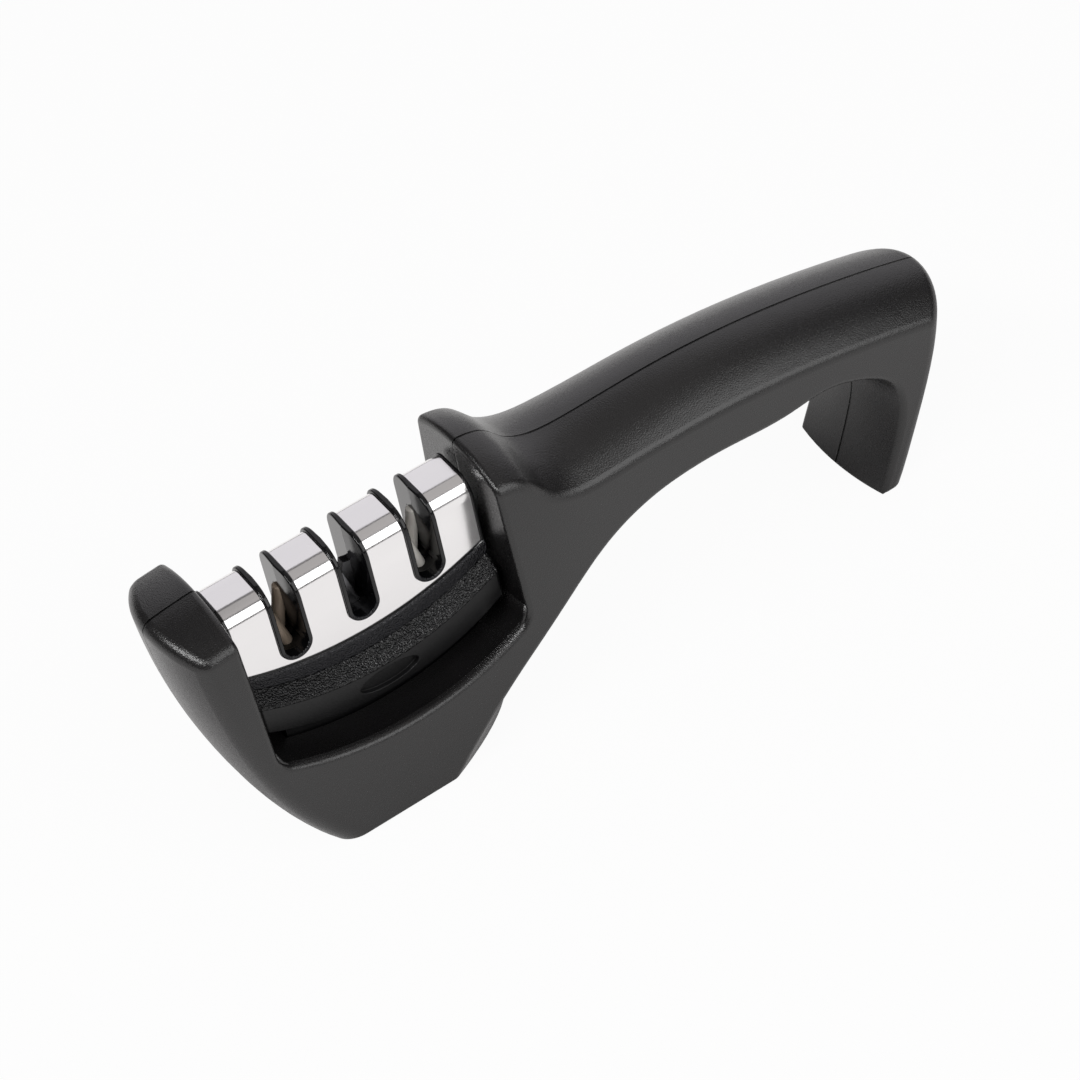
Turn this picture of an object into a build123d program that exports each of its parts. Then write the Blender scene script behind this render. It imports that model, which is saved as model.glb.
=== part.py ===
from build123d import *
from math import cos, radians, sin
import os

os.makedirs("parts", exist_ok=True)

# Pull through knife sharpener. Lengths are in millimetres.
# X runs along the tool with the nose at -X and the grip at +X, Z is up,
# and the origin is on the floor under the middle of the tool.

# Casing, overall
overall_length = 203.6
overall_height = 71.7
base_width = 44.8
grip_width = 32.4
side_lean = 6.2
nose_block = 13.6
nose_rake = 16.7
nose_bow = 5.0
tail_rake = 14.7
tail_bow = 8.0
neck_length = 45.0
horn_fall = 9.0
grip_fall = 16.3
overrun = 1.6

# Casing, wall and edges
wall = 2.4
corner_round = 4.5
tail_round = 3.2
top_round = 3.0
under_round = 1.6

# Well that holds the sharpening module
well_length = 64.6
lip_height = 22.7
lip_rise = 7.8
lip_round = 5.0
well_floor = 19.0
well_edge_round = 1.3

# Clearances
fit = 0.05
plate_gap = 0.15
slide_gap = 0.3

# Foot pads and base plate
pad_thickness = 0.6
pad_margin = 0.6
plate_thickness = 2.0

# Screws through the casing, from the far shell into the near one
casing_shank = 3.0
casing_screw_length = 17.0
casing_head = 5.2
casing_head_height = 2.2
casing_seat_y = 8.0
tube_width = 9.0
head_recess_gap = 0.3
pilot_spare = 1.0
nose_screw_back = 8.4
nose_screw_height = 52.0
neck_screw_back = 12.0
neck_screw_height = 45.0
grip_screw_back = 53.6
grip_screw_height = 48.5
tail_screw_ahead = 17.8
tail_screw_height = 42.0

# Countersunk screws that hold the base plate
base_shank = 2.9
base_screw_length = 10.0
base_head = 5.3
base_boss = 7.0
base_screw_front = 20.0
base_screw_rear = 8.0
base_screw_side = 14.0

# Sharpening module: base with its stem
module_length = 62.0
parting_height = 37.3
parting_rise = 7.7
parting_gap = 0.15
base_half = 12.0
band_half = 8.2
ledge_drop = 2.7
ledge_round = 0.6
base_corner = 1.0
belly_height = 26.2
belly_rise = 8.4
stem_length = 50.0
stem_width = 14.0
stem_floor = 10.0
stem_top = 33.5
collar_wall = 2.0
thumb_length = 15.2
thumb_height = 5.4
thumb_depth = 1.2
thumb_centre = 30.5

# Screws from the module base up into the core
module_shank = 2.5
module_screw_length = 16.0
module_head = 4.4
module_head_height = 1.9
module_seat = 30.0
module_screw_side = 4.0

# Chrome cover
cover_length = 60.8
cover_half = 7.4
cover_top = 65.5
cover_round = 4.5
cover_sheet = 0.6
cover_foot = 42.0
cover_foot_rise = 6.2
cover_slot = 8.0
cover_slot_floor = 45.3
slot_pitch = 17.15
saddle_foot = 36.0

# Core under the cover
end_rim_proud = 0.3
slot_rim_proud = 0.7
rim_round = 0.35
band_round = 0.8
slot_width = 5.8
slot_waist = 5.0
slot_floor = 46.4
well_pocket_half = 5.0
well_pocket_floor = 43.5
core_shank = 2.5
core_screw_length = 8.4
core_head = 4.4
core_head_height = 1.9
core_seat_y = 4.4
core_screw_height = 57.0

# Crossed rods and blades in the slots
rod_width = 3.0
rod_tilt = 14.0
rod_cross = 46.0
rod_foot = 3.7
rod_head = 13.0
rod_chamfer = 0.35
blade_width = 3.2
blade_thickness = 2.2
blade_head = 9.8

nose_x = -overall_length / 2
tail_x = overall_length / 2
well_front_x = nose_x + nose_block
well_rear_x = well_front_x + well_length
well_mid_x = (well_front_x + well_rear_x) / 2
grip_run = tail_x - well_rear_x
neck_start_x = well_rear_x - wall
neck_end_x = neck_start_x + neck_length
reach = base_width / 2 + overrun
half_module = module_length / 2
rod_y = rod_width / 2 + fit
slot_centres = (well_mid_x - slot_pitch, well_mid_x, well_mid_x + slot_pitch)
strap_centres = (well_mid_x - slot_pitch / 2, well_mid_x + slot_pitch / 2)
casing_screw_places = (
    (nose_x + nose_screw_back, nose_screw_height),
    (well_rear_x + neck_screw_back, neck_screw_height),
    (well_rear_x + grip_screw_back, grip_screw_height),
    (tail_x - tail_screw_ahead, tail_screw_height),
)
base_screw_places = [
    (well_mid_x + along, side * base_screw_side)
    for along in (-base_screw_front, base_screw_rear)
    for side in (-1, 1)
]
module_screw_places = [(x, side * module_screw_side) for x in strap_centres for side in (-1, 1)]

# Plan outline at rising heights: share of the height, then shares of the
# nose rake, the nose bow, the tail rake and the tail bow
plan_shares = (
    (0.0, 1.0, 1.4, 1.0, 1.0),
    (0.167, 0.67, 0.94, 0.64, 1.0),
    (0.335, 0.42, 0.80, 0.32, 1.0),
    (0.50, 0.235, 0.84, 0.075, 1.0),
    (0.67, 0.10, 0.92, 0.0, 0.93),
    (0.835, 0.018, 0.98, 0.06, 0.85),
    (1.03, -0.018, 1.0, 0.15, 0.81),
)
# Crest over the head: shares of the head's length and of the height
head_top_shares = ((-0.14, 0.935), (0.09, 0.985), (0.56, 0.994), (0.94, 1.0))
# Crest behind the well: shares of the grip run, of the height, and how much
# of the way from the horn's fall to the grip's fall the crown has gone
grip_top_shares = (
    (0.014, 1.0, 0.0),
    (0.06, 0.973, 0.06),
    (0.097, 0.906, 0.30),
    (0.141, 0.868, 0.53),
    (0.221, 0.8545, 0.75),
    (0.404, 0.859, 1.0),
    (0.604, 0.8326, 1.0),
    (0.803, 0.7713, 1.0),
    (0.97, 0.6974, 1.0),
    (1.10, 0.6206, 1.0),
)
# Underside on the middle plane and at the flanks, nose to tail: shares of
# the grip run and of the height
under_mid_shares = (
    (-0.018, -0.07), (0.002, 0.084), (0.053, 0.237), (0.133, 0.39), (0.201, 0.483),
    (0.301, 0.55), (0.492, 0.576), (0.62, 0.558), (0.683, 0.566), (0.755, 0.524),
    (0.811, 0.4435), (0.829, 0.349), (0.814, 0.202), (0.783, 0.056), (0.755, -0.07),
)
under_side_shares = (
    (-0.289, -0.07), (-0.194, 0.098), (-0.078, 0.255), (0.065, 0.416), (0.153, 0.513),
    (0.281, 0.583), (0.492, 0.59), (0.62, 0.597), (0.683, 0.605), (0.783, 0.561),
    (0.859, 0.474), (0.877, 0.349), (0.855, 0.202), (0.815, 0.056), (0.791, -0.07),
)
# Height of the steep corner edges that are rounded, as shares of the height
corner_band_shares = (0.25, 0.75)
rim_share = 0.6
# Cross recess of a screw: shares of the head's width and height
drive_length_share = 0.6
drive_width_share = 0.16
drive_depth_share = 0.6


def upright_corners(form):
    low, high = [share * overall_height for share in corner_band_shares]
    return form.edges().filter_by(lambda e: low < e.center().Z < high).sort_by(Axis.X)


def well_edges(form):
    """The curved edges that the well's opening leaves in the flanks, the lip and the crest."""
    return form.edges().filter_by(
        lambda e: well_front_x - fit < e.center().X < well_rear_x + fit
        and e.center().Z > well_floor and e.geom_type != GeomType.LINE)


def scoop_edges(form):
    """The arch's two long flank edges; the rounding runs on along the whole underside."""
    return form.edges().filter_by(
        lambda e: e.center().X > well_rear_x
        and e.center().Z < rim_share * overall_height).sort_by(SortBy.LENGTH)[-2:]


def plan_form(inset):
    with BuildPart() as form:
        for height, rake, bow, tail, tail_bend in plan_shares:
            front_x = nose_x + nose_rake * rake + inset
            shoulder_x = front_x + nose_bow * bow
            back_x = tail_x - tail_rake * tail - inset
            heel_x = back_x - tail_bow * tail_bend
            head_y = base_width / 2 - side_lean * height - inset
            grip_y = grip_width / 2 - inset
            with BuildSketch(Plane.XY.offset(height * overall_height)):
                with BuildLine():
                    ThreePointArc((shoulder_x, head_y), (front_x, 0), (shoulder_x, -head_y))
                    for side in (-1, 1):
                        Line((shoulder_x, side * head_y), (neck_start_x, side * head_y))
                        Spline((neck_start_x, side * head_y), (neck_end_x, side * grip_y),
                               tangents=((1, 0), (1, 0)))
                        Line((neck_end_x, side * grip_y), (heel_x, side * grip_y))
                    ThreePointArc((heel_x, -grip_y), (back_x, 0), (heel_x, grip_y))
                make_face()
        loft()
        fillet(upright_corners(form)[:2], corner_round - inset)
        fillet(upright_corners(form)[-2:], tail_round - inset)
    return form.part


def crest_line(side_share, inset):
    """Crest seen from the side; side_share is 0 on the middle plane and 1 at the reach."""
    head_run = well_rear_x - nose_x
    head = [(nose_x + along * head_run, up * overall_height - inset - horn_fall * side_share)
            for along, up in head_top_shares]
    grip = [(well_rear_x + along * grip_run,
             up * overall_height - inset - side_share * (horn_fall + (grip_fall - horn_fall) * blend))
            for along, up, blend in grip_top_shares]
    return head, grip


def top_form(inset):
    with BuildPart() as form:
        for side in (-1, 0, 1):
            head, grip = crest_line(abs(side), inset)
            with BuildSketch(Plane.XZ.offset(side * reach)):
                with BuildLine():
                    Line((head[0][0], -reach), head[0])
                    Spline(*head, *grip)
                    Polyline(grip[-1], (grip[-1][0], -reach), (head[0][0], -reach))
                make_face()
        loft()
    return form.part


def under_form():
    with BuildPart() as form:
        for side in (-1, 0, 1):
            shares = under_side_shares if side else under_mid_shares
            line = [(well_rear_x + along * grip_run, up * overall_height) for along, up in shares]
            with BuildSketch(Plane.XZ.offset(side * reach)):
                with BuildLine():
                    Spline(*line)
                    Line(line[-1], line[0])
                make_face()
        loft()
    return form.part


def slab(front, back, half_width, bottom, top):
    with BuildPart() as block:
        with BuildSketch(Plane.XY.offset(bottom)):
            with Locations(((front + back) / 2, 0)):
                Rectangle(back - front, 2 * half_width)
        extrude(amount=top - bottom)
    return block.part


def inset_form(inset, under):
    """The casing's outline moved inwards, without its crest."""
    with BuildPart() as form:
        add(plan_form(inset))
        with Locations((0, 0, inset), (-inset, 0, 0), (inset, 0, 0)):
            add(under, mode=Mode.SUBTRACT)
    return form.part


def low_layer(form, front, back, bottom, top):
    with BuildPart() as layer:
        add(form)
        add(slab(front, back, reach, bottom, top), mode=Mode.INTERSECT)
    return layer.part


def screw_form(shank, length, head, head_height, sunk):
    """A screw with its shank down; its seat, or a sunk head's top, is on the ground plane."""
    top = 0 if sunk else head_height
    with BuildPart() as screw:
        with BuildSketch():
            Circle(shank / 2)
        extrude(amount=-length)
        if sunk:
            with BuildSketch():
                Circle(head / 2)
            with BuildSketch(Plane.XY.offset(-head_height)):
                Circle(shank / 2)
            loft()
        else:
            with BuildSketch():
                Circle(head / 2)
            extrude(amount=head_height)
            fillet(screw.edges().group_by(Axis.Z)[-1], head_height * drive_width_share)
        with BuildSketch(Plane.XY.offset(top)):
            Rectangle(head * drive_length_share, head * drive_width_share)
            Rectangle(head * drive_width_share, head * drive_length_share)
        extrude(amount=-head_height * drive_depth_share, mode=Mode.SUBTRACT)
    return screw.part


def arc_cut(mid_height, end_rise, half_length):
    """Everything below a rising arc, across the module."""
    with BuildPart() as cut:
        with BuildSketch(Plane.XZ):
            with BuildLine():
                front = (well_mid_x - half_length, mid_height + end_rise)
                back = (well_mid_x + half_length, mid_height + end_rise)
                ThreePointArc(front, (well_mid_x, mid_height), back)
                Polyline(back, (back[0], 0), (front[0], 0), front)
            make_face()
        extrude(amount=base_half, both=True)
    return cut.part


def saddle_form(half_width, top, corner, length):
    with BuildPart() as form:
        with BuildSketch(Plane.YZ.offset(well_mid_x - length / 2)) as profile:
            with Locations((0, top)):
                Rectangle(2 * half_width, top - saddle_foot, align=(Align.CENTER, Align.MAX))
            fillet(profile.vertices().group_by(Axis.Y)[-1], corner)
        extrude(amount=length)
    return form.part


def slot_form(width, floor):
    with BuildPart() as form:
        with BuildSketch(Plane.XZ):
            with Locations(*[(x, floor + width / 2) for x in slot_centres]):
                Circle(width / 2)
                Rectangle(width, cover_top - floor, align=(Align.CENTER, Align.MIN))
        extrude(amount=base_half, both=True)
    return form.part


def waisted_slots():
    """The knife slots, narrower on the middle plane, with a deeper pocket for the rods."""
    flare = (slot_width - slot_waist) / (cover_half + slot_rim_proud)
    with BuildPart() as form:
        for x in slot_centres:
            for side in (-1, 0, 1):
                half = (slot_waist + abs(side) * flare * base_half) / 2
                with BuildSketch(Plane.XZ.offset(side * base_half)):
                    with BuildLine():
                        ThreePointArc((x - half, slot_floor + slot_width / 2), (x, slot_floor),
                                      (x + half, slot_floor + slot_width / 2))
                        Polyline((x + half, slot_floor + slot_width / 2), (x + half, cover_top + overrun),
                                 (x - half, cover_top + overrun), (x - half, slot_floor + slot_width / 2))
                    make_face()
            loft(ruled=True)
            add(slab(x - slot_waist / 2 + fit, x + slot_waist / 2 - fit, well_pocket_half,
                     well_pocket_floor, cover_slot_floor + slot_width))
    return form.part


def crossing_plane(slot_x, side):
    lean, rise = side * sin(radians(rod_tilt)), cos(radians(rod_tilt))
    return Plane(origin=(slot_x, side * rod_y, rod_cross), x_dir=(rise, 0, -lean), z_dir=(lean, 0, rise))


def rod(slot_x, side):
    with BuildPart() as form:
        with BuildSketch(crossing_plane(slot_x, side).offset(-rod_foot)):
            Circle(rod_width / 2)
        extrude(amount=rod_foot + rod_head)
        chamfer(form.edges().filter_by(GeomType.CIRCLE), rod_chamfer)
    return form.part


def blade(slot_x, side):
    with BuildPart() as form:
        with BuildSketch(crossing_plane(slot_x, side).offset(-rod_foot)):
            with Locations((0, -side * (rod_y - fit))):
                Rectangle(blade_width, blade_thickness,
                          align=(Align.CENTER, Align.MIN if side > 0 else Align.MAX))
        extrude(amount=rod_foot + blade_head)
    return form.part


def insert_seats(side):
    """Seats of the rods and blades in one core half, open to the parting plane."""
    towards = Align.MAX if side > 0 else Align.MIN
    with BuildPart() as form:
        for slot_x in slot_centres:
            flat = slot_x == well_mid_x
            seat_half = (blade_width if flat else rod_width) / 2 + fit
            seat_top = (blade_head if flat else rod_head) + fit
            with BuildSketch(crossing_plane(slot_x, side).offset(-rod_foot)):
                Rectangle(2 * seat_half, rod_y + overrun, align=(Align.CENTER, towards))
                if flat:
                    with Locations((0, side * (blade_thickness + 2 * fit - rod_y))):
                        Rectangle(2 * seat_half, blade_thickness, align=(Align.CENTER, towards))
                else:
                    Circle(seat_half)
            extrude(amount=rod_foot + seat_top)
    return form.part


# Casing: plan outline and crest line meet, the underside is scooped out
under = under_form()
with BuildPart() as casing:
    add(plan_form(0))
    add(top_form(0), mode=Mode.INTERSECT)
    fillet(casing.edges().filter_by(lambda e: e.center().Z > rim_share * overall_height), top_round)
    add(under, mode=Mode.SUBTRACT)
    with BuildSketch(Plane.XZ) as well_side:
        with BuildLine():
            well_front = (well_front_x, lip_height + lip_rise)
            well_rear = (well_rear_x, lip_height + lip_rise)
            ThreePointArc(well_front, (well_mid_x, lip_height), well_rear)
            Polyline(well_rear, (well_rear_x, overall_height + overrun),
                     (well_front_x, overall_height + overrun), well_front)
        make_face()
        fillet(well_side.vertices().group_by(Axis.Y)[0], lip_round)
    extrude(amount=reach, both=True, mode=Mode.SUBTRACT)
    fillet(well_edges(casing), well_edge_round)
    fillet(scoop_edges(casing), under_round)
    split(bisect_by=Plane.XY.offset(pad_thickness), keep=Keep.TOP)

# The room inside the casing, open at the bottom of the head
plate_top = pad_thickness + plate_thickness
room = inset_form(wall, under)
with BuildPart() as cavity:
    add(room)
    add(top_form(wall), mode=Mode.INTERSECT)
    add(slab(well_front_x - wall, well_rear_x + wall, reach, well_floor - wall, overall_height),
        mode=Mode.SUBTRACT)
    add(slab(0, tail_x, reach, -overrun, pad_thickness + wall), mode=Mode.SUBTRACT)
    with BuildSketch(Plane.XZ):
        with Locations(*casing_screw_places):
            Circle(tube_width / 2)
    extrude(amount=reach, both=True, mode=Mode.SUBTRACT)
    with BuildSketch(Plane.XY.offset(plate_top)):
        with Locations(*base_screw_places):
            Circle(base_boss / 2)
    extrude(amount=well_floor - plate_top, mode=Mode.SUBTRACT)
    add(slab(well_mid_x - stem_length / 2 - slide_gap - collar_wall,
             well_mid_x + stem_length / 2 + slide_gap + collar_wall,
             stem_width / 2 + slide_gap + collar_wall, stem_floor - collar_wall, well_floor),
        mode=Mode.SUBTRACT)

# The well's pocket and the socket for the module's stem
with BuildPart() as pocket:
    add(room)
    add(slab(well_front_x, well_rear_x, reach, well_floor, overall_height), mode=Mode.INTERSECT)
    add(slab(well_mid_x - stem_length / 2 - slide_gap, well_mid_x + stem_length / 2 + slide_gap,
             stem_width / 2 + slide_gap, stem_floor, well_floor + overrun))

with BuildPart() as hollow_casing:
    add(casing.part)
    add(cavity.part, mode=Mode.SUBTRACT)
    add(pocket.part, mode=Mode.SUBTRACT)
    with BuildSketch(Plane.XY.offset(plate_top)):
        with Locations(*base_screw_places):
            Circle(base_shank / 2 + fit)
    extrude(amount=base_screw_length - plate_thickness + pilot_spare, mode=Mode.SUBTRACT)

with BuildPart() as right_shell:
    add(hollow_casing.part)
    split(bisect_by=Plane.XZ, keep=Keep.TOP)
    with BuildSketch(Plane.XZ):
        with Locations(*casing_screw_places):
            Circle(casing_shank / 2 + fit)
    extrude(amount=casing_screw_length - casing_seat_y + pilot_spare, mode=Mode.SUBTRACT)
right_shell.part.label = "right_shell"
export_step(right_shell.part, "parts/right_shell.step")

with BuildPart() as left_shell:
    add(hollow_casing.part)
    split(bisect_by=Plane.XZ, keep=Keep.BOTTOM)
    with BuildSketch(Plane.XZ):
        with Locations(*casing_screw_places):
            Circle(casing_shank / 2 + fit)
    extrude(amount=-casing_seat_y - overrun, mode=Mode.SUBTRACT)
    with BuildSketch(Plane.XZ.offset(-casing_seat_y)):
        with Locations(*casing_screw_places):
            Circle(casing_head / 2 + head_recess_gap)
    extrude(amount=-reach, mode=Mode.SUBTRACT)
left_shell.part.label = "left_shell"
export_step(left_shell.part, "parts/left_shell.step")

casing_screw = screw_form(casing_shank, casing_screw_length, casing_head, casing_head_height, False)
with BuildPart() as casing_screws:
    for x, height in casing_screw_places:
        with Locations(Plane(origin=(x, casing_seat_y, height), x_dir=(1, 0, 0), z_dir=(0, 1, 0))):
            add(casing_screw)
casing_screws.part.label = "casing_screws"
export_step(casing_screws.part, "parts/casing_screws.step")

# Base plate, its screws and the two rubber pads
base_head_height = (base_head - base_shank) / 2
with BuildPart() as base_plate:
    add(low_layer(inset_form(wall + plate_gap, under), nose_x, 0, pad_thickness, plate_top))
    with BuildSketch(Plane.XY.offset(pad_thickness)):
        with Locations(*base_screw_places):
            Circle(base_shank / 2 + fit)
    extrude(amount=plate_thickness, mode=Mode.SUBTRACT)
    for place in base_screw_places:
        with BuildSketch(Plane.XY.offset(pad_thickness)):
            with Locations(place):
                Circle(base_head / 2 + fit)
        with BuildSketch(Plane.XY.offset(pad_thickness + base_head_height)):
            with Locations(place):
                Circle(base_shank / 2 + fit)
        loft(mode=Mode.SUBTRACT)
base_plate.part.label = "base_plate"
export_step(base_plate.part, "parts/base_plate.step")

base_screw = screw_form(base_shank, base_screw_length, base_head, base_head_height, True)
with BuildPart() as base_screws:
    for x, y in base_screw_places:
        with Locations(Plane(origin=(x, y, pad_thickness), x_dir=(1, 0, 0), z_dir=(0, 0, -1))):
            add(base_screw)
base_screws.part.label = "base_screws"
export_step(base_screws.part, "parts/base_screws.step")

pad_form = inset_form(pad_margin, under)
with BuildPart() as base_pad:
    add(low_layer(pad_form, nose_x, 0, 0, pad_thickness))
base_pad.part.label = "base_pad"
export_step(base_pad.part, "parts/base_pad.step")

with BuildPart() as leg_pad:
    add(low_layer(pad_form, 0, tail_x, 0, pad_thickness))
leg_pad.part.label = "leg_pad"
export_step(leg_pad.part, "parts/leg_pad.step")

# Module base: ledge around the core, dark face below it, stem into the socket
with BuildPart() as module_base:
    for y, drop in ((-base_half, ledge_drop), (-band_half, 0), (band_half, 0), (base_half, ledge_drop)):
        mid_top = parting_height - parting_gap - drop
        front_x, back_x = well_mid_x - half_module, well_mid_x + half_module
        with BuildSketch(Plane.XZ.offset(-y)):
            with BuildLine():
                ThreePointArc((front_x, mid_top + parting_rise), (well_mid_x, mid_top),
                              (back_x, mid_top + parting_rise))
                Line((back_x, mid_top + parting_rise), (back_x, belly_height + belly_rise))
                ThreePointArc((back_x, belly_height + belly_rise), (well_mid_x, belly_height),
                              (front_x, belly_height + belly_rise))
                Line((front_x, belly_height + belly_rise), (front_x, mid_top + parting_rise))
            make_face()
    loft(ruled=True)
    fillet(module_base.edges().filter_by(
        lambda e: abs(abs(e.center().X - well_mid_x) - half_module) < fit
        and abs(abs(e.center().Y) - base_half) < fit), base_corner)
    fillet(module_base.edges().filter_by(
        lambda e: e.center().Z > thumb_centre and e.length > stem_length
        and abs(abs(e.center().Y) - base_half) < fit), ledge_round)
    for side in (-1, 1):
        with BuildSketch(Plane.XZ.offset(side * base_half)):
            with Locations((well_mid_x, thumb_centre)):
                Ellipse(thumb_length / 2, thumb_height / 2)
        extrude(amount=-side * thumb_depth, mode=Mode.SUBTRACT)
    add(slab(well_mid_x - stem_length / 2, well_mid_x + stem_length / 2, stem_width / 2,
             stem_floor, stem_top))
    with BuildSketch(Plane.XY.offset(stem_floor)):
        with Locations(*module_screw_places):
            Circle(module_head / 2 + head_recess_gap)
    extrude(amount=module_seat - stem_floor, mode=Mode.SUBTRACT)
    with BuildSketch(Plane.XY.offset(stem_floor)):
        with Locations(*module_screw_places):
            Circle(module_shank / 2 + fit)
    extrude(amount=parting_height, mode=Mode.SUBTRACT)
module_base.part.label = "module_base"
export_step(module_base.part, "parts/module_base.step")

module_screw = screw_form(module_shank, module_screw_length, module_head, module_head_height, False)
with BuildPart() as module_screws:
    for x, y in module_screw_places:
        with Locations(Plane(origin=(x, y, module_seat), x_dir=(1, 0, 0), z_dir=(0, 0, -1))):
            add(module_screw)
module_screws.part.label = "module_screws"
export_step(module_screws.part, "parts/module_screws.step")

# Core, first whole and then parted on the middle plane
inner_half = cover_half - cover_sheet - fit
inner_top = cover_top - cover_sheet - fit
inner_round = cover_round - cover_sheet - fit
rim_length = cover_length + 2 * fit
with BuildPart() as core:
    add(saddle_form(cover_half + end_rim_proud, cover_top + end_rim_proud,
                    cover_round + end_rim_proud, module_length))
    add(slab(well_mid_x - rim_length / 2, well_mid_x + rim_length / 2, base_half, 0, cover_top + overrun),
        mode=Mode.SUBTRACT)
    add(saddle_form(inner_half, inner_top, inner_round, module_length))
    add(arc_cut(cover_foot - fit, cover_foot_rise, half_module), mode=Mode.SUBTRACT)

with BuildPart() as slot_rims:
    add(saddle_form(cover_half + slot_rim_proud, cover_top + slot_rim_proud,
                    cover_round + slot_rim_proud, cover_length))
    add(slot_form(cover_slot - 2 * fit, cover_slot_floor + fit), mode=Mode.INTERSECT)
    add(waisted_slots(), mode=Mode.SUBTRACT)
    fillet(slot_rims.edges(), rim_round)

with BuildPart() as band:
    add(slab(well_mid_x - half_module, well_mid_x + half_module, band_half, 0, cover_top))
    add(arc_cut(cover_foot - fit, cover_foot_rise, half_module), mode=Mode.INTERSECT)
    add(arc_cut(parting_height, parting_rise, half_module), mode=Mode.SUBTRACT)
    fillet(band.edges().filter_by(GeomType.CIRCLE).group_by(Axis.Z)[-1], band_round)

with BuildPart() as whole_core:
    add(core.part)
    add(band.part)
    add(slot_form(slot_width + rim_round, cover_slot_floor + fit + rim_round), mode=Mode.SUBTRACT)
    add(slot_rims.part)
    with BuildSketch(Plane.XY.offset(stem_floor)):
        with Locations(*module_screw_places):
            Circle(module_shank / 2 + fit)
    extrude(amount=module_seat + module_screw_length + pilot_spare - stem_floor, mode=Mode.SUBTRACT)

with BuildPart() as core_right:
    add(whole_core.part)
    split(bisect_by=Plane.XZ, keep=Keep.TOP)
    add(insert_seats(-1), mode=Mode.SUBTRACT)
    with BuildSketch(Plane.XZ):
        with Locations(*[(x, core_screw_height) for x in strap_centres]):
            Circle(core_shank / 2 + fit)
    extrude(amount=core_screw_length - core_seat_y + pilot_spare, mode=Mode.SUBTRACT)
core_right.part.label = "core_right"
export_step(core_right.part, "parts/core_right.step")

with BuildPart() as core_left:
    add(whole_core.part)
    split(bisect_by=Plane.XZ, keep=Keep.BOTTOM)
    add(insert_seats(1), mode=Mode.SUBTRACT)
    with BuildSketch(Plane.XZ):
        with Locations(*[(x, core_screw_height) for x in strap_centres]):
            Circle(core_shank / 2 + fit)
    extrude(amount=-base_half, mode=Mode.SUBTRACT)
    with BuildSketch(Plane.XZ.offset(-core_seat_y)):
        with Locations(*[(x, core_screw_height) for x in strap_centres]):
            Circle(core_head / 2 + head_recess_gap)
    extrude(amount=-base_half, mode=Mode.SUBTRACT)
core_left.part.label = "core_left"
export_step(core_left.part, "parts/core_left.step")

core_screw = screw_form(core_shank, core_screw_length, core_head, core_head_height, False)
with BuildPart() as core_screws:
    for x in strap_centres:
        with Locations(Plane(origin=(x, core_seat_y, core_screw_height), x_dir=(1, 0, 0), z_dir=(0, 1, 0))):
            add(core_screw)
core_screws.part.label = "core_screws"
export_step(core_screws.part, "parts/core_screws.step")

# Chrome cover
with BuildPart() as cover:
    add(saddle_form(cover_half, cover_top, cover_round, cover_length))
    add(saddle_form(cover_half - cover_sheet, cover_top - cover_sheet, cover_round - cover_sheet,
                    module_length), mode=Mode.SUBTRACT)
    add(slot_form(cover_slot, cover_slot_floor), mode=Mode.SUBTRACT)
    add(arc_cut(cover_foot, cover_foot_rise, half_module), mode=Mode.SUBTRACT)
cover.part.label = "cover"
export_step(cover.part, "parts/cover.step")

# Rods and blades, the near one of each pair leaning to the nose
with BuildPart() as diamond_rod_near:
    add(rod(slot_centres[0], -1))
diamond_rod_near.part.label = "diamond_rod_near"
export_step(diamond_rod_near.part, "parts/diamond_rod_near.step")

with BuildPart() as diamond_rod_far:
    add(rod(slot_centres[0], 1))
diamond_rod_far.part.label = "diamond_rod_far"
export_step(diamond_rod_far.part, "parts/diamond_rod_far.step")

with BuildPart() as carbide_blade_near:
    add(blade(slot_centres[1], -1))
carbide_blade_near.part.label = "carbide_blade_near"
export_step(carbide_blade_near.part, "parts/carbide_blade_near.step")

with BuildPart() as carbide_blade_far:
    add(blade(slot_centres[1], 1))
carbide_blade_far.part.label = "carbide_blade_far"
export_step(carbide_blade_far.part, "parts/carbide_blade_far.step")

with BuildPart() as ceramic_rod_near:
    add(rod(slot_centres[2], -1))
ceramic_rod_near.part.label = "ceramic_rod_near"
export_step(ceramic_rod_near.part, "parts/ceramic_rod_near.step")

with BuildPart() as ceramic_rod_far:
    add(rod(slot_centres[2], 1))
ceramic_rod_far.part.label = "ceramic_rod_far"
export_step(ceramic_rod_far.part, "parts/ceramic_rod_far.step")
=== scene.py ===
from math import cos, radians, sin

import bmesh
import bpy
from mathutils import Matrix, Vector


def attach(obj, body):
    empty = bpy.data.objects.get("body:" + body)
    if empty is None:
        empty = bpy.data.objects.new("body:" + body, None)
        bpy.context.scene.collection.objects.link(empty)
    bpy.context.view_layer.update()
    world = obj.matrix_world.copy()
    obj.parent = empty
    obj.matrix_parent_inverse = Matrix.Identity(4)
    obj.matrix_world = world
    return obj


# Pull through knife sharpener: near-black moulded casing, sharpening module
# with a chrome cover, crossed rods and blades in its three slots.
# Lengths are in metres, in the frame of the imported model.

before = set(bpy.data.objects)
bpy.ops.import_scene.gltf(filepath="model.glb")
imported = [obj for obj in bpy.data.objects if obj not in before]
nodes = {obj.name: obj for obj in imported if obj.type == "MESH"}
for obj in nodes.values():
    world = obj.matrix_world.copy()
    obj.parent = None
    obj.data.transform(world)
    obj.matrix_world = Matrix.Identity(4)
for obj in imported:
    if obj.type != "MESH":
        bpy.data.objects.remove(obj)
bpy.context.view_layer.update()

MM = 0.001

# Camera, solved from the photograph
CAMERA_AIM = Vector((-7.96, 0.0, 30.23)) * MM
CAMERA_AWAY = 706.87 * MM
CAMERA_AZIMUTH = radians(-25.48)
CAMERA_ELEVATION = radians(44.62)
CAMERA_ROLL = radians(11.99)
CAMERA_LENS = 104.46
SENSOR_WIDTH = 36.0

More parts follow.
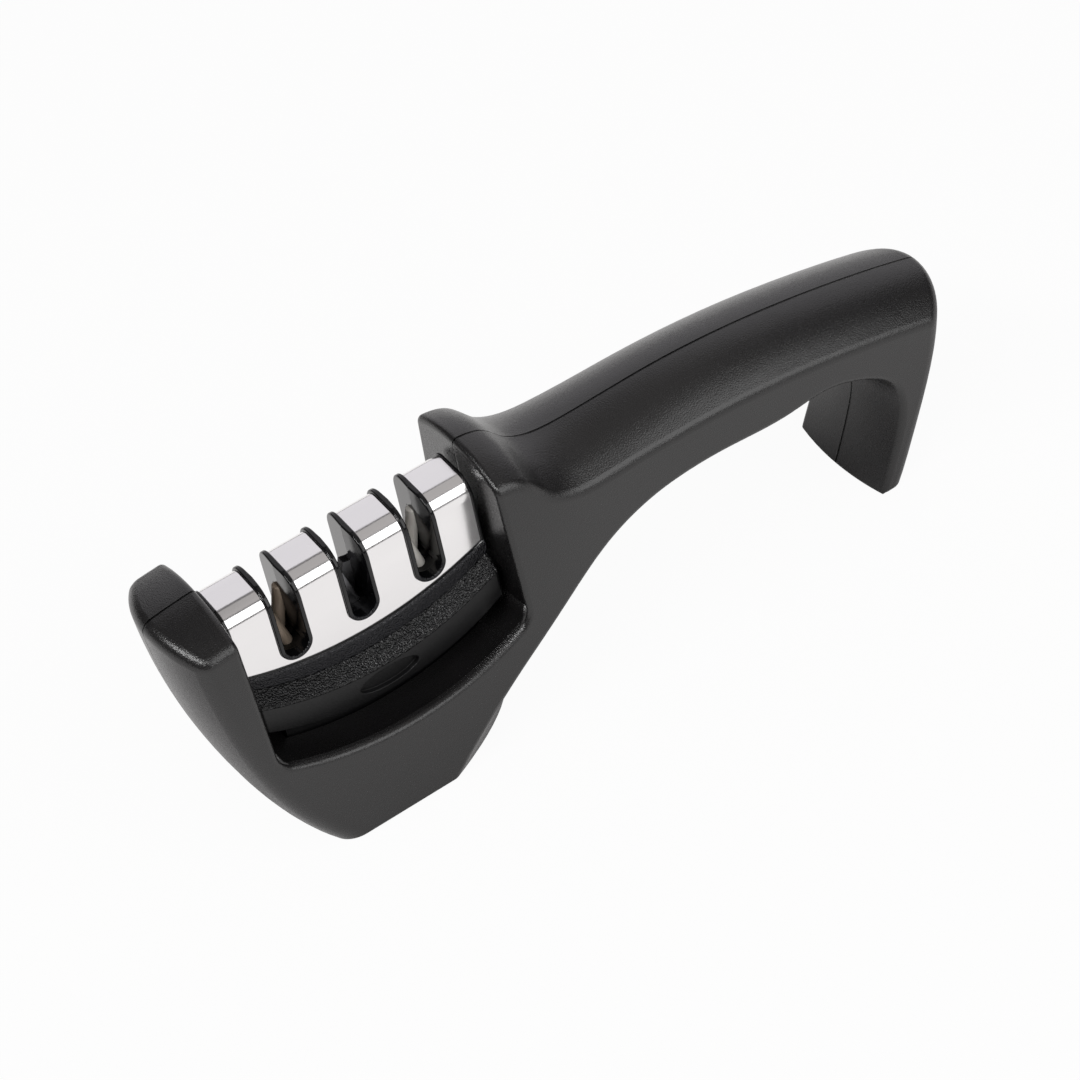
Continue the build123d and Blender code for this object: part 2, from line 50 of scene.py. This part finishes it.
# The well: its middle and half length, the lip's arc and the floor behind the lip
WELL_MIDDLE = -55.9 * MM
WELL_HALF = 32.28 * MM
LIP_RISE = 7.8 * MM
LIP_ROUND = 4.9 * MM
DECK_HEIGHT = 21.9 * MM
DECK_DIP = 2.2 * MM
DECK_HALF = 18.6 * MM
DECK_WALL = 0.8 * MM
STEM_HALF = 25.4 * MM
STEM_SIDE = 7.4 * MM

# The module's grained ledge: its outer edge at the middle, and how it rises to the ends
LEDGE_HEIGHT = 33.9 * MM
LEDGE_RISE = 7.7 * MM
LEDGE_HALF = 31.0 * MM

# The core's grained band: how far out its face lies, and where the smooth rims start
BAND_SIDE = 7.75 * MM
BAND_TOP = 48.0 * MM
RIM_FADE = 1.0 * MM

# Over this length one kind of surface gives way to the next
SURFACE_FADE = 0.1 * MM

# The line where the two shells meet
SEAM_HALF = 0.22 * MM
SEAM_FADE = 0.12 * MM
SEAM_DEPTH = 0.3 * MM

# The floor, how white it shows, and how far to each side it keeps the tool's shadow in reflections
FLOOR_SIZE = 6.0
FLOOR_WHITE = 0.95
FLOOR_SHADE = 55.0 * MM


class Shade:
    """A socket of a finish that takes part in sums."""

    def __init__(self, finish, socket):
        self.finish = finish
        self.socket = socket

    def sum_with(self, operation, *values):
        values = [self.socket if value is self else value for value in values]
        settings = {"operation": operation}
        return self.finish.node("ShaderNodeMath", settings, dict(enumerate(values)))

    def __add__(self, other):
        return self.sum_with("ADD", self, other)

    def __radd__(self, other):
        return self.sum_with("ADD", other, self)

    def __sub__(self, other):
        return self.sum_with("SUBTRACT", self, other)

    def __rsub__(self, other):
        return self.sum_with("SUBTRACT", other, self)

    def __mul__(self, other):
        return self.sum_with("MULTIPLY", self, other)

    def __rmul__(self, other):
        return self.sum_with("MULTIPLY", other, self)

    def __truediv__(self, other):
        return self.sum_with("DIVIDE", self, other)

    def __abs__(self):
        return self.sum_with("ABSOLUTE", self)

    def clamped(self):
        return self.sum_with("MINIMUM", self.sum_with("MAXIMUM", self, 0.0), 1.0)


class Finish:
    """A material made of one Principled shader and the nodes that feed it."""

    def __init__(self, name, **shader):
        self.material = bpy.data.materials.new(name)
        self.material.use_nodes = True
        self.tree = self.material.node_tree
        self.shader = self.tree.nodes["Principled BSDF"]
        self.here = self.node("ShaderNodeTexCoord", output="Object")
        self.set(**shader)

    def node(self, kind, settings=None, sockets=None, output=0):
        """One node: its type, its settings, then the values or links of its sockets."""
        made = self.tree.nodes.new(kind)
        for name, value in (settings or {}).items():
            setattr(made, name, value)
        for name, value in (sockets or {}).items():
            self.feed(made.inputs[name], value)
        return Shade(self, made.outputs[output])

    def feed(self, socket, value):
        source = value.socket if isinstance(value, Shade) else value
        if isinstance(source, bpy.types.NodeSocket):
            self.tree.links.new(source, socket)
        else:
            socket.default_value = source

    def set(self, **shader):
        for name, value in shader.items():
            label = name.replace("_", " ").title().replace("Ior", "IOR")
            self.feed(self.shader.inputs[label], value)

    def along(self, axis):
        """The place along X, Y or Z."""
        return self.node("ShaderNodeSeparateXYZ", sockets={"Vector": self.here}, output=axis)

    def noise(self, size, detail=2.0, roughness=0.55, stretch=(1.0, 1.0, 1.0)):
        """A value from 0 to 1 that varies over lengths of a size."""
        where = self.node("ShaderNodeMapping", sockets={"Vector": self.here, "Scale": stretch})
        return self.node("ShaderNodeTexNoise", sockets={
            "Vector": where, "Scale": 1.0 / size, "Detail": detail, "Roughness": roughness})

    def mix(self, share, first, second):
        """A colour between two colours."""
        settings = {"data_type": "RGBA"}
        sockets = {0: share, 6: first, 7: second}
        return self.node("ShaderNodeMix", settings, sockets, output=2)

    def rounded(self, radius):
        """The surface's normal with its sharp edges softened."""
        return self.node("ShaderNodeBevel", {"samples": 6}, {"Radius": radius})

    def relief(self, height, depth, normal=None):
        """The normal of a surface that is raised by a height from 0 to 1, times a depth."""
        sockets = {"Height": height, "Distance": depth, "Strength": 1.0}
        if normal:
            sockets["Normal"] = normal
        return self.node("ShaderNodeBump", sockets=sockets)


def colour(red, green, blue):
    return (red, green, blue, 1.0)


def paint(finish, *names):
    for name in names:
        for slot in nodes[name].material_slots:
            slot.material = finish.material


def casing_finish():
    """Near-black moulded plastic with a fine spark-eroded grain and the seam of the two shells."""
    finish = Finish("casing_plastic", specular_ior_level=0.6)
    grain = finish.noise(size=0.30 * MM, detail=1.0)
    cloud = finish.noise(size=9.0 * MM)
    body = finish.mix(cloud, colour(0.0042, 0.0039, 0.0041), colour(0.0066, 0.0061, 0.0064))
    surface = finish.relief(grain, depth=0.065 * MM, normal=finish.rounded(0.4 * MM))
    # The seam is a narrow gap that gives no light back, as a black metal does
    shell = ((abs(finish.along("Y")) - SEAM_HALF) / SEAM_FADE).clamped()
    finish.set(
        base_color=finish.mix(shell, colour(0.0, 0.0, 0.0), body),
        metallic=1.0 - shell,
        roughness=0.21 + 0.12 * grain + 0.03 * cloud,
        normal=finish.relief(shell, SEAM_DEPTH, surface),
    )
    return finish


def module_base_finish():
    """Dark plastic with a coarse grain on the ledge and a smooth face under it."""
    finish = Finish("base_plastic", specular_ior_level=0.36)
    share = (finish.along("X") - WELL_MIDDLE) / LEDGE_HALF
    over_edge = finish.along("Z") - LEDGE_RISE * (share * share) - LEDGE_HEIGHT
    ledge = (over_edge / SURFACE_FADE).clamped()
    coarse = finish.noise(size=0.37 * MM, detail=0.0)
    fine = finish.noise(size=0.25 * MM, detail=1.0)
    relief = coarse * ledge + 0.08 * fine
    finish.set(
        base_color=finish.mix(coarse, colour(0.002, 0.002, 0.0022), colour(0.0045, 0.0045, 0.005)),
        roughness=0.32 - 0.12 * ledge + 0.06 * fine,
        normal=finish.relief(relief, depth=0.42 * MM, normal=finish.rounded(0.25 * MM)),
    )
    return finish


def core_finish():
    """Gloss black plastic; the band under the cover has a fine grain."""
    finish = Finish("core_plastic", specular_ior_level=0.36)
    outside = ((abs(finish.along("Y")) - BAND_SIDE) / SURFACE_FADE).clamped()
    rim = ((finish.along("Z") - BAND_TOP) / RIM_FADE).clamped()
    band = outside * (1.0 - rim)
    grain = finish.noise(size=0.34 * MM, detail=0.0)
    smear = finish.noise(size=3.0 * MM, detail=3.0)
    relief = grain * band + 0.008 * smear
    finish.set(
        base_color=finish.mix(band, colour(0.003, 0.003, 0.0035), colour(0.005, 0.005, 0.007)),
        roughness=0.08 + 0.06 * smear + 0.12 * band,
        normal=finish.relief(relief, depth=0.30 * MM, normal=finish.rounded(0.2 * MM)),
    )
    return finish


def chrome_finish():
    """Polished chrome with a faint lengthwise polishing haze."""
    finish = Finish("cover_chrome", metallic=1.0)
    haze = finish.noise(size=6.0 * MM, detail=4.0, stretch=(0.15, 1.0, 1.0))
    ripple = finish.noise(size=14.0 * MM, detail=1.0)
    finish.set(
        base_color=finish.mix(haze, colour(0.81, 0.80, 0.805), colour(0.89, 0.88, 0.88)),
        roughness=0.11 + 0.08 * haze,
        normal=finish.relief(ripple, depth=0.05 * MM, normal=finish.rounded(0.25 * MM)),
    )
    return finish


def steel_finish():
    """Zinc plated screw steel with fine turning marks."""
    finish = Finish("screw_steel", metallic=1.0)
    marks = finish.noise(size=0.5 * MM, detail=3.0)
    finish.set(
        base_color=finish.mix(marks, colour(0.42, 0.42, 0.44), colour(0.56, 0.56, 0.57)),
        roughness=0.24 + 0.18 * marks,
        normal=finish.relief(marks, depth=0.02 * MM, normal=finish.rounded(0.1 * MM)),
    )
    return finish


def diamond_finish():
    """Nickel bonded diamond grit, tan and rough."""
    finish = Finish("diamond_grit", metallic=0.35)
    grit = finish.noise(size=0.20 * MM, detail=3.0, roughness=0.7)
    worn = finish.noise(size=2.4 * MM)
    base = finish.mix(grit, colour(0.16, 0.12, 0.09), colour(0.56, 0.44, 0.33))
    finish.set(
        base_color=finish.mix(worn * 0.5, base, colour(0.42, 0.36, 0.30)),
        roughness=0.42 + 0.3 * grit,
        normal=finish.relief(grit, depth=0.07 * MM, normal=finish.rounded(0.1 * MM)),
    )
    return finish


def carbide_finish():
    """Ground tungsten carbide, dark grey with fine grinding lines."""
    finish = Finish("carbide", metallic=1.0)
    lines = finish.noise(size=0.9 * MM, detail=3.0, stretch=(1.0, 1.0, 9.0))
    finish.set(
        base_color=finish.mix(lines, colour(0.15, 0.15, 0.16), colour(0.24, 0.24, 0.25)),
        roughness=0.22 + 0.2 * lines,
        normal=finish.relief(lines, depth=0.015 * MM, normal=finish.rounded(0.1 * MM)),
    )
    return finish


def ceramic_finish():
    """Fired white ceramic, faintly stained where blades pass."""
    finish = Finish("white_ceramic")
    pores = finish.noise(size=0.22 * MM)
    stain = finish.noise(size=2.8 * MM)
    finish.set(
        base_color=finish.mix(stain, colour(0.70, 0.66, 0.60), colour(0.84, 0.82, 0.78)),
        roughness=0.42 + 0.2 * pores,
        normal=finish.relief(pores, depth=0.02 * MM, normal=finish.rounded(0.1 * MM)),
    )
    return finish


def rubber_finish():
    """Matte black pad rubber."""
    finish = Finish("pad_rubber")
    grain = finish.noise(size=0.4 * MM)
    finish.set(
        base_color=finish.mix(grain, colour(0.006, 0.006, 0.006), colour(0.012, 0.012, 0.012)),
        roughness=0.72 + 0.16 * grain,
        normal=finish.relief(grain, depth=0.05 * MM),
    )
    return finish


def plate_finish():
    """Black plastic of the base plate, with a satin tool finish."""
    finish = Finish("plate_plastic")
    grain = finish.noise(size=0.5 * MM)
    finish.set(
        base_color=finish.mix(grain, colour(0.014, 0.014, 0.015), colour(0.020, 0.020, 0.021)),
        roughness=0.45 + 0.12 * grain,
        normal=finish.relief(grain, depth=0.03 * MM, normal=finish.rounded(0.2 * MM)),
    )
    return finish


def floor_finish():
    """Plain pale floor: white in the picture and in reflections, shaded close under the tool."""
    finish = Finish("floor", base_color=colour(0.60, 0.59, 0.59), roughness=0.9, specular_ior_level=0.0)
    camera_ray = finish.node("ShaderNodeLightPath", output="Is Camera Ray")
    glossy_ray = finish.node("ShaderNodeLightPath", output="Is Glossy Ray")
    tone = finish.mix(glossy_ray, colour(1.0, 1.0, 1.0), colour(1.0, 0.985, 0.98))
    white = finish.node("ShaderNodeEmission", sockets={"Color": tone, "Strength": 1.0})
    lit = finish.shader.outputs["BSDF"]
    open_floor = (abs(finish.along("Y")) / FLOOR_SHADE).clamped()
    share = (FLOOR_WHITE * camera_ray + FLOOR_WHITE * glossy_ray * open_floor).clamped()
    shown = finish.tree.nodes["Material Output"].inputs["Surface"]
    finish.feed(shown, finish.node("ShaderNodeMixShader", sockets={0: share, 1: lit, 2: white}))
    return finish


def deck_height(along, side):
    """Height of the well's floor at a place along the well and a share of its half width."""
    arc = LIP_RISE * (along / WELL_HALF) ** 2
    bend = min(max(0.0, abs(along) - (WELL_HALF - LIP_ROUND)), LIP_ROUND)
    lift = LIP_ROUND - (LIP_ROUND ** 2 - bend ** 2) ** 0.5
    return DECK_HEIGHT + arc + lift - DECK_DIP * (1 - side * side)


def well_deck(finish):
    """Floor of the well: it follows the lip's arc, dips to the middle and leaves the stem's opening."""
    deck = bmesh.new()
    bmesh.ops.create_grid(deck, x_segments=64, y_segments=40, size=1.0)
    bmesh.ops.scale(deck, vec=(WELL_HALF, DECK_HALF, 1.0), verts=deck.verts)
    for across, edge in (((1, 0, 0), STEM_HALF), ((0, 1, 0), STEM_SIDE)):
        for side in (-1, 1):
            whole = deck.verts[:] + deck.edges[:] + deck.faces[:]
            bmesh.ops.bisect_plane(deck, geom=whole, plane_co=Vector(across) * edge * side, plane_no=across)
    centres = {face: face.calc_center_median() for face in deck.faces}
    opening = [face for face, centre in centres.items()
               if abs(centre.x) < STEM_HALF and abs(centre.y) < STEM_SIDE]
    bmesh.ops.delete(deck, geom=opening, context="FACES")
    for vert in deck.verts:
        vert.co.z = deck_height(vert.co.x, vert.co.y / DECK_HALF)
        vert.co.x += WELL_MIDDLE
    piece = finished_piece("well_deck", deck, "body", finish)
    wall = piece.modifiers.new("wall", "SOLIDIFY")
    wall.thickness = DECK_WALL
    wall.offset = -1.0


def finished_piece(name, form, body, finish):
    """A smooth shaded piece from a bmesh, riding on its body."""
    mesh = bpy.data.meshes.new(name)
    form.to_mesh(mesh)
    form.free()
    mesh.shade_smooth()
    mesh.materials.append(finish.material)
    piece = bpy.data.objects.new(name, mesh)
    bpy.context.scene.collection.objects.link(piece)
    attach(piece, body)
    return piece


def lay_floor():
    bpy.ops.mesh.primitive_plane_add(size=FLOOR_SIZE)
    floor = bpy.context.object
    floor.name = "floor"
    floor.data.materials.append(floor_finish().material)


def turned_to(place, aim):
    """A matrix at a place whose -Z looks at the aim."""
    return Matrix.Translation(place) @ (aim - place).to_track_quat("-Z", "Y").to_matrix().to_4x4()


def hang_lamp(name, place, width, length, power, tint=(1.0, 1.0, 1.0)):
    lamp = bpy.data.lights.new(name, "AREA")
    lamp.shape = "RECTANGLE"
    lamp.size = width
    lamp.size_y = length
    lamp.energy = power
    lamp.color = tint
    held = bpy.data.objects.new(name, lamp)
    held.matrix_world = turned_to(Vector(place), CAMERA_AIM)
    bpy.context.scene.collection.objects.link(held)


def light_studio():
    """Panels that the cover and the shoulders reflect, and a strip for the nose's rounded edge."""
    hang_lamp("back_panel", (0.62, 0.87, 0.64), width=1.75, length=1.15, power=4.6, tint=(0.98, 0.96, 1.0))
    hang_lamp("front_panel", (0.416, -0.95, 0.68), width=1.3, length=0.96, power=9.5)
    hang_lamp("top_panel", (0.40, -0.02, 1.10), width=1.15, length=0.60, power=0.75, tint=(1.0, 0.96, 0.94))
    hang_lamp("nose_strip", (-0.64, -0.24, 0.86), width=0.90, length=0.15, power=8.5)
    world = bpy.data.worlds.new("studio")
    world.use_nodes = True
    sky = world.node_tree.nodes["Background"]
    sky.inputs["Color"].default_value = colour(0.125, 0.12, 0.12)
    sky.inputs["Strength"].default_value = 1.0
    bpy.context.scene.world = world


def place_camera():
    back = Vector((sin(CAMERA_AZIMUTH) * cos(CAMERA_ELEVATION),
                   -cos(CAMERA_AZIMUTH) * cos(CAMERA_ELEVATION),
                   sin(CAMERA_ELEVATION)))
    right = (-back).cross(Vector((0.0, 0.0, 1.0))).normalized()
    up = right.cross(-back)
    across = cos(CAMERA_ROLL) * right - sin(CAMERA_ROLL) * up
    upward = sin(CAMERA_ROLL) * right + cos(CAMERA_ROLL) * up
    turn = Matrix((across, upward, back)).transposed().to_4x4()
    lens = bpy.data.cameras.new("camera")
    lens.lens = CAMERA_LENS
    lens.sensor_width = SENSOR_WIDTH
    camera = bpy.data.objects.new("camera", lens)
    camera.matrix_world = Matrix.Translation(CAMERA_AIM + CAMERA_AWAY * back) @ turn
    bpy.context.scene.collection.objects.link(camera)
    bpy.context.scene.camera = camera


casing = casing_finish()
paint(casing, "right_shell", "left_shell")
paint(plate_finish(), "base_plate")
paint(rubber_finish(), "base_pad", "leg_pad")
paint(module_base_finish(), "module_base")
paint(core_finish(), "core_right", "core_left")
paint(chrome_finish(), "cover")
paint(steel_finish(), "casing_screws", "base_screws", "module_screws", "core_screws")
paint(diamond_finish(), "diamond_rod_near", "diamond_rod_far")
paint(carbide_finish(), "carbide_blade_near", "carbide_blade_far")
paint(ceramic_finish(), "ceramic_rod_near", "ceramic_rod_far")

well_deck(casing)
lay_floor()
light_studio()
place_camera()
bpy.context.scene.view_settings.view_transform = "Standard"
